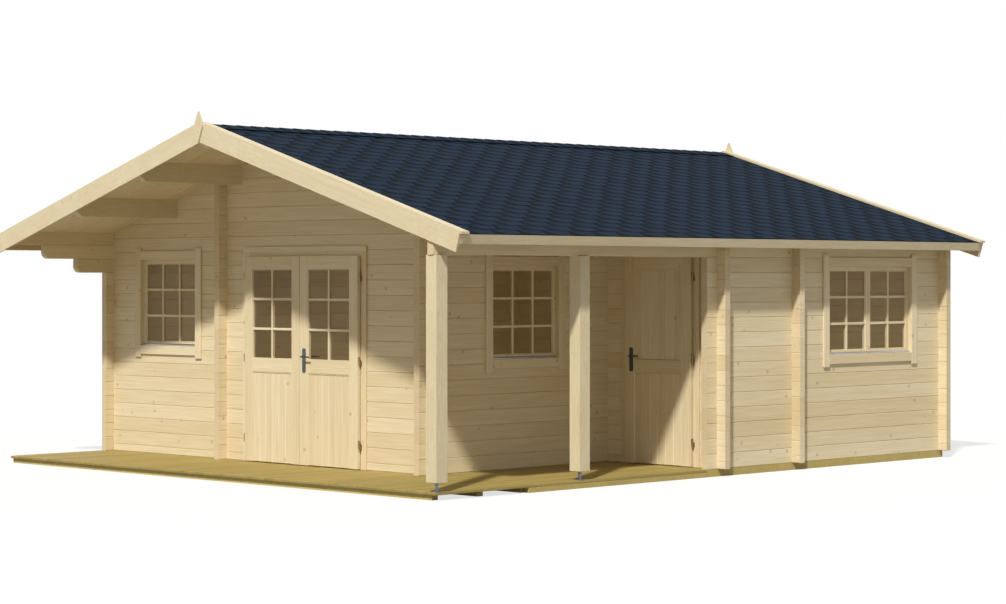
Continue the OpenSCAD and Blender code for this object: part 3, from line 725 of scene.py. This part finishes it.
def cover_ridge():
    """Pieces bent over the ridge, each lapping the next one."""
    low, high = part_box("ridge_cap")
    mesh, tint, fall = marked_mesh()
    chance = random.Random("ridge")
    bend, lap, thick, lift_off = 0.010, 1.35, 0.004, 0.0085
    half = (bend, 0.024, 0.06, 0.158)
    across = [-x for x in reversed(half)] + [0.0] + list(half)
    count = round((high[1] - low[1]) / sizes().ridge_piece)
    span = (high[1] - low[1]) / count
    crown = RIDGE + (ROOF_BOARD + lift_off) / math.cos(PITCH)
    for i in range(count):
        start = low[1] + i * span
        stop = min(start + span * lap, high[1])
        own = chance.random()
        rows = []
        for y, lift, share in ((start, 0.0075, 1.0), (stop, 0.0012, 0.2)):
            ring = []
            for x in across:
                z = crown + lift + math.tan(PITCH) * (bend - math.sqrt(x * x + bend * bend))
                ring.append(mesh.verts.new((x, y, z)))
                ring[-1][fall] = share
            rows.append(ring)
        under = [[mesh.verts.new(v.co - Vector((0, 0, thick))) for v in ring] for ring in rows]
        loop = [rows[0], rows[1], under[1], under[0]]
        made = [mesh.faces.new((one[k], one[k + 1], two[k + 1], two[k]))
                for one, two in zip(loop, loop[1:] + loop[:1]) for k in range(len(across) - 1)]
        made += [mesh.faces.new([ring[end] for ring in loop]) for end in (0, -1)]
        for face in made:
            face[tint] = own
    bmesh.ops.recalc_face_normals(mesh, faces=mesh.faces)
    dress(mesh, "ridge_shingles", [bitumen_shingle()], "house", ["ridge_cap"])


# Floors

def lay_deck(timber, x0, x1, y0, y1, bearers, cut=None):
    """Boards along Y side by side from x0 to x1; gives the places of two screws over each bearer."""
    inset, rounded = 0.025, 0.004
    gap = sizes().deck_gap
    count = round((x1 - x0) / (sizes().deck_board + gap))
    step = (x1 - x0 + gap) / count
    screws = []
    for i in range(count):
        left = x0 + i * step
        right = left + step - gap
        end = cut[1] if cut and right > cut[0] else y1
        timber.board((left, y0, -DECK_THICK), (right, end, 0.0), "y", rounded)
        for y in bearers:
            if y0 < y < end:
                for x in (left + inset, right - inset):
                    screws.append((set_down(x, y, 0.0), (0, 0, 1)))
    return screws


def lay_floors():
    """Boards along X in each room, between the faces of its walls."""
    joint, eased = 0.0005, 0.0015
    wall, rear, cross = 2.980, 5.930, 2.471
    timber = Timber("room_floor_boards", board_spruce, arris=eased)
    for x0, x1, y0, y1 in ((-wall, -1.221, WALL, cross), (-1.149, PORCH_X - WALL, WALL, cross),
                           (-wall, PORCH_X, cross, rear), (1.686, wall, 2.470, CROSS),
                           (1.686, wall, CROSS + WALL, rear)):
        count = round((y1 - y0) / sizes().floor_board)
        step = (y1 - y0) / count
        for i in range(count):
            timber.board((x0, y0 + i * step, -DECK_THICK), (x1, y0 + (i + 1) * step - joint, 0.0), "x")
    timber.done("house", ["room_floor"])


# Windows and doors

def glaze(timber, low, high, columns, depths, run):
    """Bars and beads on both faces of a pane between two corners in x and z; depths are (near, far)."""
    rows = 3
    # Crossing bars and beads step back, so that no two faces share a plane
    bar_step, bead_step, cross_step = 0.0004, 0.003, 0.0034
    half, bead = sizes().bar / 2, sizes().bead
    for near, far in depths:
        for k in range(1, columns):
            x = low[0] + (high[0] - low[0]) * k / columns
            timber.board((x - half, near, low[1]), (x + half, far, high[1]), "z")
        for k in range(1, rows):
            z = low[1] + (high[1] - low[1]) * k / rows
            timber.board((low[0], near + bar_step, z - half), (high[0], far, z + half), run)
        for x in (low[0], high[0] - bead):
            timber.board((x, near + bead_step, low[1]), (x + bead, far, high[1]), "z")
        for z in (low[1], high[1] - bead):
            timber.board((low[0], near + cross_step, z), (high[0], far, z + bead), run)


def window_surround(name, at, out, run, wide):
    """Lining boards in the wall, then casing boards over the joint; gives the places of the nails."""
    lining, deep, casing, proud, over, inset, joint = 0.020, 0.095, 0.090, 0.020, 0.030, 0.022, 0.0005
    tall = WINDOW_TALL
    nails = []
    timber = Timber(name + "_boards", board_spruce, at)
    for z in (-lining, tall):
        timber.board((-lining, 0.0, z), (wide + lining, deep, z + lining), run)
    for x in (-lining, wide):
        timber.board((x, 0.0, 0.0), (x + lining, deep, tall), "z")
    for x in (-casing, wide):
        timber.board((x, -proud, -casing - over), (x + casing, 0.0, tall + casing + over), "z", EASED)
        for z in (-casing / 2, tall / 2, tall + casing / 2):
            for dx in (inset, casing - inset):
                nails.append((at(x + dx, -proud, z), out))
    for z in (-casing, tall):
        timber.board((joint, -proud, z), (wide - joint, 0.0, z + casing), run, EASED)
    for z in (-casing / 2, tall + casing / 2):
        for x in (wide * 0.3, wide * 0.7):
            nails.append((at(x, -proud, z), out))
    timber.done("house", [name])
    return nails


def window_sash(timber, x0, w, columns, run):
    """One sash with its stiles, rails, glazing bars and beads."""
    member, outer, inner, set_back = 0.038, SASH_OUT, 0.066, 0.004
    pane_out, pane_in = 0.044, 0.048
    top = WINDOW_TALL - member
    for x in (x0, x0 + w - member):
        timber.board((x, outer, 0.0), (x + member, inner, WINDOW_TALL), "z")
    for z in (0.0, top):
        timber.board((x0 + member, outer, z), (x0 + w - member, inner, z + member), run)
    glaze(timber, (x0 + member, member), (x0 + w - member, top), columns,
          ((outer + set_back, pane_out), (pane_in, inner - set_back)), run)


def rain_rail(mesh, x0, w, at):
    """A rail along the foot of a sash, its top sloping outwards."""
    inset, front, crest, foot, lip, top = 0.003, 0.012, 0.024, 0.003, 0.009, 0.022
    outline = ((SASH_OUT, foot), (front, foot), (front, lip), (crest, top), (SASH_OUT, top))
    outline_plate(mesh, outline, x0 + inset, x0 + w - inset, lambda y, x, z: at(x, y, z), arris=0.0005)


def door_surround(name, middle, wall, half):
    """Jambs, head, threshold and casing boards of one doorway."""
    head, jamb, top, proud, inside, sill = 2.030, 0.045, 0.075, 0.015, 0.085, 0.025
    casing, over, above, joint, worn = 0.020, 0.055, 0.035, 0.0005, 0.004

    def at(x, y, z):
        return set_down(middle + x, wall + y, z)
    timber = Timber(name + "_boards", board_spruce, at)
    for x in (-half, half - jamb):
        timber.board((x, -proud, sill), (x + jamb, inside, head - top), "z")
    timber.board((-half, -proud, head - top), (half, inside, head), "x")
    timber.board((-half, -proud, 0.0), (half, inside, sill), "x", worn)
    for x in (-half - over, half):
        timber.board((x, -casing, 0.0), (x + over, 0.0, head - casing - joint), "z", EASED)
    timber.board((-half - over, -casing, head - casing), (half + over, 0.0, head + above), "x", EASED)
    timber.done("house", [name])


def door_leaf(name, body, x0, x1, wall, glazed):
    """One leaf: stiles, rails, tongued boards below and panes or boards above."""
    out, back = wall - LEAF_OUT, wall - LEAF_BACK
    foot, top, stile, rail, lock = 0.006, 1.975, 0.115, 0.125, 0.870
    # How far boards, beads and bars lie behind the leaf's faces, and the groove between two boards
    board_in, bead_in, cross_in, bead_back, bar_in, groove = 0.008, 0.002, 0.0024, 0.010, 0.004, 0.005
    joint, clear, brace = 0.0005, 0.001, 0.012
    bead = sizes().bead
    px0, px1 = x0 + stile, x1 - stile
    timber = Timber(name + "_joinery", board_spruce, arris=EASED)
    for x in (x0, px1):
        timber.board((x, out, foot), (x + stile, back, top), "z")
    for low, high in ((lock, lock + rail), (top - rail, top)):
        timber.board((px0, out, low), (px1, back, high), "x")
    fields = [(foot + clear, lock)]
    if not glazed:
        fields.append((lock + rail, top - rail))
    count = round((px1 - px0) / sizes().door_board)
    step = (px1 - px0) / count
    for low, high in fields:
        for i in range(count):
            timber.board((px0 + i * step, out + board_in, low),
                         (px0 + (i + 1) * step, back - board_in, high), "z", groove)
        # Small beads close the field at the stiles and under the rail
        for x in (px0, px1 - bead):
            timber.board((x, out + bead_in, low), (x + bead, out + bead_back, high), "z")
        timber.board((px0 + bead, out + cross_in, high - bead), (px1 - bead, out + bead_back, high), "x")
    # A rail behind the boards' feet
    timber.board((px0 + joint, back - brace, foot + clear), (px1 - joint, back - clear, foot + rail), "x")
    if glazed:
        pane_out, pane_in = wall - 0.041, wall - 0.037
        glaze(timber, (px0, lock + rail), (px1, top - rail), 2,
              ((out + bar_in, pane_out), (pane_in, back - bar_in)), "x")
    timber.done(body, [name])


def lever_set(name, body, x, wall):
    """A lever on a long round-ended plate with a key cylinder, on both faces of the leaf."""
    half, low, high, corner, thick, eased = 0.023, 0.877, 1.107, 0.020, 0.007, 0.002
    spindle, reach, grip, bar, bend = 1.027, 0.048, 0.125, 0.009, 0.014
    rose, rose_thick, sunk, droop, nose = 0.014, 0.006, 0.004, 0.001, 0.006
    key_at, key, key_drop, key_thick = 0.935, 0.0085, 0.014, 0.003
    mesh = bmesh.new()
    outline = []
    for cx, cz, turn in ((half - corner, low + corner, -90), (half - corner, high - corner, 0),
                         (-half + corner, high - corner, 90), (-half + corner, low + corner, 180)):
        for a in range(turn, turn + 91, 15):
            outline.append((x + cx + corner * math.cos(math.radians(a)),
                            cz + corner * math.sin(math.radians(a))))
    # The cylinder is round above and drawn out below
    cylinder = [(px, pz if pz > key_at else pz - key_drop * (key_at - pz) / key)
                for px, pz in circle(x, key_at, key, 16)]
    for face, out in ((wall - LEAF_OUT, -1), (wall - LEAF_BACK, 1)):
        skin, end = face + out * thick, face + out * reach
        outline_plate(mesh, outline, face, skin, set_down, eased)
        outline_plate(mesh, circle(x, spindle, rose, 24), skin, skin + out * rose_thick, set_down, eased)
        path = [set_down(x, skin + out * sunk, spindle), set_down(x, end - out * bend, spindle)]
        for a in range(15, 91, 15):
            path.append(set_down(x + bend * (1 - math.cos(math.radians(a))),
                                 end - out * bend * (1 - math.sin(math.radians(a))), spindle))
        path += [set_down(x + grip * 0.6, end, spindle), set_down(x + grip - nose, end, spindle - droop),
                 set_down(x + grip, end, spindle - droop)]
        sweep(mesh, path, [bar] * (len(path) - 3) + [bar * 0.95, bar * 0.85, bar * 0.55])
        outline_plate(mesh, cylinder, skin, skin + out * key_thick, set_down)
    dress(mesh, name + "_set", [handle_steel()], body, [name])


# Operators, one for each group of pieces

class GARDENHOUSE_OT_stage(bpy.types.Operator):
    """Set the camera, the pale floor and the studio light"""
    bl_idname = "gardenhouse.stage"
    bl_label = "Studio"

    def execute(self, context):
        context.scene.view_settings.view_transform = "Standard"
        set_camera(context.scene)
        set_lamps()
        set_floor()
        set_sky(context.scene)
        return {"FINISHED"}


class GARDENHOUSE_OT_log_walls(bpy.types.Operator):
    """Finish the log stacks, plates, purlins and posts"""
    bl_idname = "gardenhouse.log_walls"
    bl_label = "Log Walls"

    def execute(self, context):
        for name in ("front_wall_left", "front_wall_right", "front_gable", "porch_back_wall_left",
                     "porch_back_wall_right", "porch_back_gable", "back_wall"):
            finish_node(name, log_spruce("x"))
        for name in ("left_wall", "right_wall", "right_plate", "porch_side_wall"):
            finish_node(name, log_spruce("y"))
        finish_node("partition_walls", partition_spruce())
        finish_node("purlins", beam_spruce("y"), arris=0.004)
        finish_node("porch_posts", beam_spruce("z"), arris=0.006)
        return {"FINISHED"}


class GARDENHOUSE_OT_roof_trim(bpy.types.Operator):
    """Finish the barge boards, caps and finials, add the fascias, and nail them"""
    bl_idname = "gardenhouse.roof_trim"
    bl_label = "Roof Trim"

    def execute(self, context):
        for name in ("front_barge_boards", "back_barge_boards", "verge_caps"):
            finish_node(name, beam_spruce("slope"))
        finish_node("gable_finials", beam_spruce("z"))
        eaves_fascias()
        trim_nails()
        return {"FINISHED"}


class GARDENHOUSE_OT_roof_boards(bpy.types.Operator):
    """Lay the roof boards from the ridge to the eaves"""
    bl_idname = "gardenhouse.roof_boards"
    bl_label = "Roof Boards"

    def execute(self, context):
        top, joint, groove = 0.003, 0.0004, 0.004
        count = round((ROOF_BACK - ROOF_FRONT) / sizes().roof_board)
        width = (ROOF_BACK - ROOF_FRONT) / count
        for side, name in ((-1, "roof_boards_left"), (1, "roof_boards_right")):
            timber = Timber("tongued_" + name, board_spruce, partial(on_slope, side), groove)
            for i in range(count):
                timber.board((top, ROOF_FRONT + i * width + joint, 0.0),
                             (BOARD_END, ROOF_FRONT + (i + 1) * width - joint, ROOF_BOARD), "slope")
            timber.done("house", [name])
        return {"FINISHED"}


class GARDENHOUSE_OT_shingles(bpy.types.Operator):
    """Lay the hexagonal shingles and the ridge pieces"""
    bl_idname = "gardenhouse.shingles"
    bl_label = "Shingles"

    def execute(self, context):
        cover_slope(-1, "shingles_left")
        cover_slope(1, "shingles_right")
        cover_ridge()
        return {"FINISHED"}


class GARDENHOUSE_OT_decks(bpy.types.Operator):
    """Lay and screw the terrace, the porch deck and the room floors"""
    bl_idname = "gardenhouse.decks"
    bl_label = "Decks and Floors"

    def execute(self, context):
        front, clear = DECK_FRONT - FACE, 0.002
        terrace = Timber("terrace_boards", deck_pine)
        screws = lay_deck(terrace, -HALF_W, HALF_W, front, -clear,
                          (front + 0.065, (front - 0.030) / 2, -0.095))
        terrace.done("house", ["terrace_deck"])
        porch = Timber("porch_boards", deck_pine)
        # The outermost boards stop before the log ends of the right wall
        screws += lay_deck(porch, PORCH_X + clear, HALF_W, 0.003, PORCH_BACK - clear,
                           (0.635, 1.235, 1.835, 2.3), cut=(2.979, 2.258))
        porch.done("house", ["porch_deck"])
        heads("deck_screws", screws, sizes().screw, proud=0.0006)
        lay_floors()
        finish_node("sill_bearers", bearer_pine("x"))
        finish_node("deck_bearers", bearer_pine("x"))
        return {"FINISHED"}


class GARDENHOUSE_OT_post_feet(bpy.types.Operator):
    """Finish the steel feet and add their nuts and screws"""
    bl_idname = "gardenhouse.post_feet"
    bl_label = "Post Feet"

    def execute(self, context):
        half, nut, screw, inset, plate = 0.035, 0.018, 0.0055, 0.025, 0.006
        finish_node("post_feet", zinc_steel(), arris=0.0008)
        low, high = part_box("post_feet")
        x = (low[0] + high[0]) / 2
        mesh = bmesh.new()
        screws = []
        for y in (low[1] + half, high[1] - half):
            for z0, z1 in ((0.008, 0.022), (0.052, 0.066)):
                outline_plate(mesh, circle(x, 0.0, nut, 6), DECK + z0, DECK + z1,
                              lambda a, d, b, yy=y: Vector((a, yy + b, d)), arris=0.0015)
            for dx in (-inset, inset):
                for dy in (-inset, inset):
                    screws.append((Vector((x + dx, y + dy, DECK + plate)), (0, 0, 1)))
        dress(mesh, "foot_nuts", [zinc_steel()], "house")
        heads("foot_screws", screws, screw, proud=0.003)
        return {"FINISHED"}


class GARDENHOUSE_OT_windows(bpy.types.Operator):
    """Build the window linings, casings, sashes, bars and beads"""
    bl_idname = "gardenhouse.windows"
    bl_label = "Windows"

    def execute(self, context):
        sill, single, leaf, gap = 1.018, 0.880, 0.6755, 0.004
        one, two = ((0.0, single, 3),), ((0.0, leaf, 2), (leaf + gap, leaf, 2))
        sideways = Matrix.Rotation(math.pi / 2, 4, "Z")
        front = Matrix.Translation(set_down(-2.510, 0, sill + LOG / 2))
        porch = Matrix.Translation(set_down(PORCH_X, 0.818, sill)) @ sideways
        side = Matrix.Translation(set_down(HALF_W, 4.0845, sill)) @ sideways
        sashes = Timber("window_sashes_with_bars", board_spruce, arris=EASED)
        rails = bmesh.new()
        nails = []
        for name, where, run, leaves, wide in (("front_window_frame", front, "x", one, single),
                                               ("porch_window_frame", porch, "y", one, single),
                                               ("side_window_frame", side, "y", two, 2 * leaf + gap)):
            def at(x, y, z):
                return where @ Vector((x, y, z))
            nails += window_surround(name, at, where.to_3x3() @ Vector((0, -1, 0)), run, wide)
            sashes.place = at
            for x0, w, columns in leaves:
                window_sash(sashes, x0, w, columns, run)
                rain_rail(rails, x0, w, at)
        sashes.done("house", ["window_sashes"])
        dress(rails, "window_rain_rails", [mill_aluminium()], "house")
        heads("casing_nails", nails, sizes().nail)
        finish_node("window_glass", float_glass(), arris=0)
        return {"FINISHED"}


class GARDENHOUSE_OT_doors(bpy.types.Operator):
    """Build the door frames and the three leaves with boards, bars and beads"""
    bl_idname = "gardenhouse.doors"
    bl_label = "Doors"

    def execute(self, context):
        door_surround("double_door_frame", 0.0, 0.0, 0.830)
        door_surround("porch_door_frame", PORCH_X + 0.683, PORCH_BACK, 0.4265)
        door_leaf("left_door_leaf", "left_leaf", -0.812, -0.003, 0.0, True)
        door_leaf("right_door_leaf", "right_leaf", 0.003, 0.812, 0.0, True)
        door_leaf("porch_door_leaf", "porch_leaf", 1.9595, 2.7765, PORCH_BACK, False)
        finish_node("left_door_glass", float_glass(), arris=0)
        finish_node("right_door_glass", float_glass(), arris=0)
        return {"FINISHED"}


class GARDENHOUSE_OT_fittings(bpy.types.Operator):
    """Make the lever handles and finish the hinges"""
    bl_idname = "gardenhouse.fittings"
    bl_label = "Fittings"

    def execute(self, context):
        lever_set("right_door_handle", "right_leaf", 0.066, 0.0)
        lever_set("porch_door_handle", "porch_leaf", 2.0395, PORCH_BACK)
        for name in ("door_hinge_pins", "left_leaf_hinges", "right_leaf_hinges", "porch_leaf_hinges"):
            finish_node(name, hinge_steel(), arris=0.0006)
        return {"FINISHED"}


class GARDENHOUSE_PT_house(bpy.types.Panel):
    """Sizes, colours and making of the log garden house"""
    bl_idname = "GARDENHOUSE_PT_house"
    bl_label = "Log Garden House"
    bl_space_type = "VIEW_3D"
    bl_region_type = "UI"
    bl_category = "Garden House"

    def draw(self, context):
        column = self.layout.column()
        for group in (context.scene.garden_house_sizes, context.scene.garden_house_colours):
            for key in group.__annotations__:
                column.prop(group, key)
            column.separator()
        for maker in MAKERS:
            column.operator(maker.bl_idname)


MAKERS = (
    GARDENHOUSE_OT_stage,
    GARDENHOUSE_OT_log_walls,
    GARDENHOUSE_OT_roof_trim,
    GARDENHOUSE_OT_roof_boards,
    GARDENHOUSE_OT_shingles,
    GARDENHOUSE_OT_decks,
    GARDENHOUSE_OT_post_feet,
    GARDENHOUSE_OT_windows,
    GARDENHOUSE_OT_doors,
    GARDENHOUSE_OT_fittings,
)
CLASSES = (HouseSizes, HouseColours) + MAKERS + (GARDENHOUSE_PT_house,)


def register():
    for kind in CLASSES:
        bpy.utils.register_class(kind)
    bpy.types.Scene.garden_house_sizes = bpy.props.PointerProperty(type=HouseSizes)
    bpy.types.Scene.garden_house_colours = bpy.props.PointerProperty(type=HouseColours)


def unregister():
    del bpy.types.Scene.garden_house_colours
    del bpy.types.Scene.garden_house_sizes
    for kind in reversed(CLASSES):
        bpy.utils.unregister_class(kind)


def main():
    register()
    bpy.ops.gardenhouse.stage()
    bpy.ops.gardenhouse.log_walls()
    bpy.ops.gardenhouse.roof_trim()
    bpy.ops.gardenhouse.roof_boards()
    bpy.ops.gardenhouse.shingles()
    bpy.ops.gardenhouse.decks()
    bpy.ops.gardenhouse.post_feet()
    bpy.ops.gardenhouse.windows()
    bpy.ops.gardenhouse.doors()
    bpy.ops.gardenhouse.fittings()


if __name__ == "__main__":
    main()
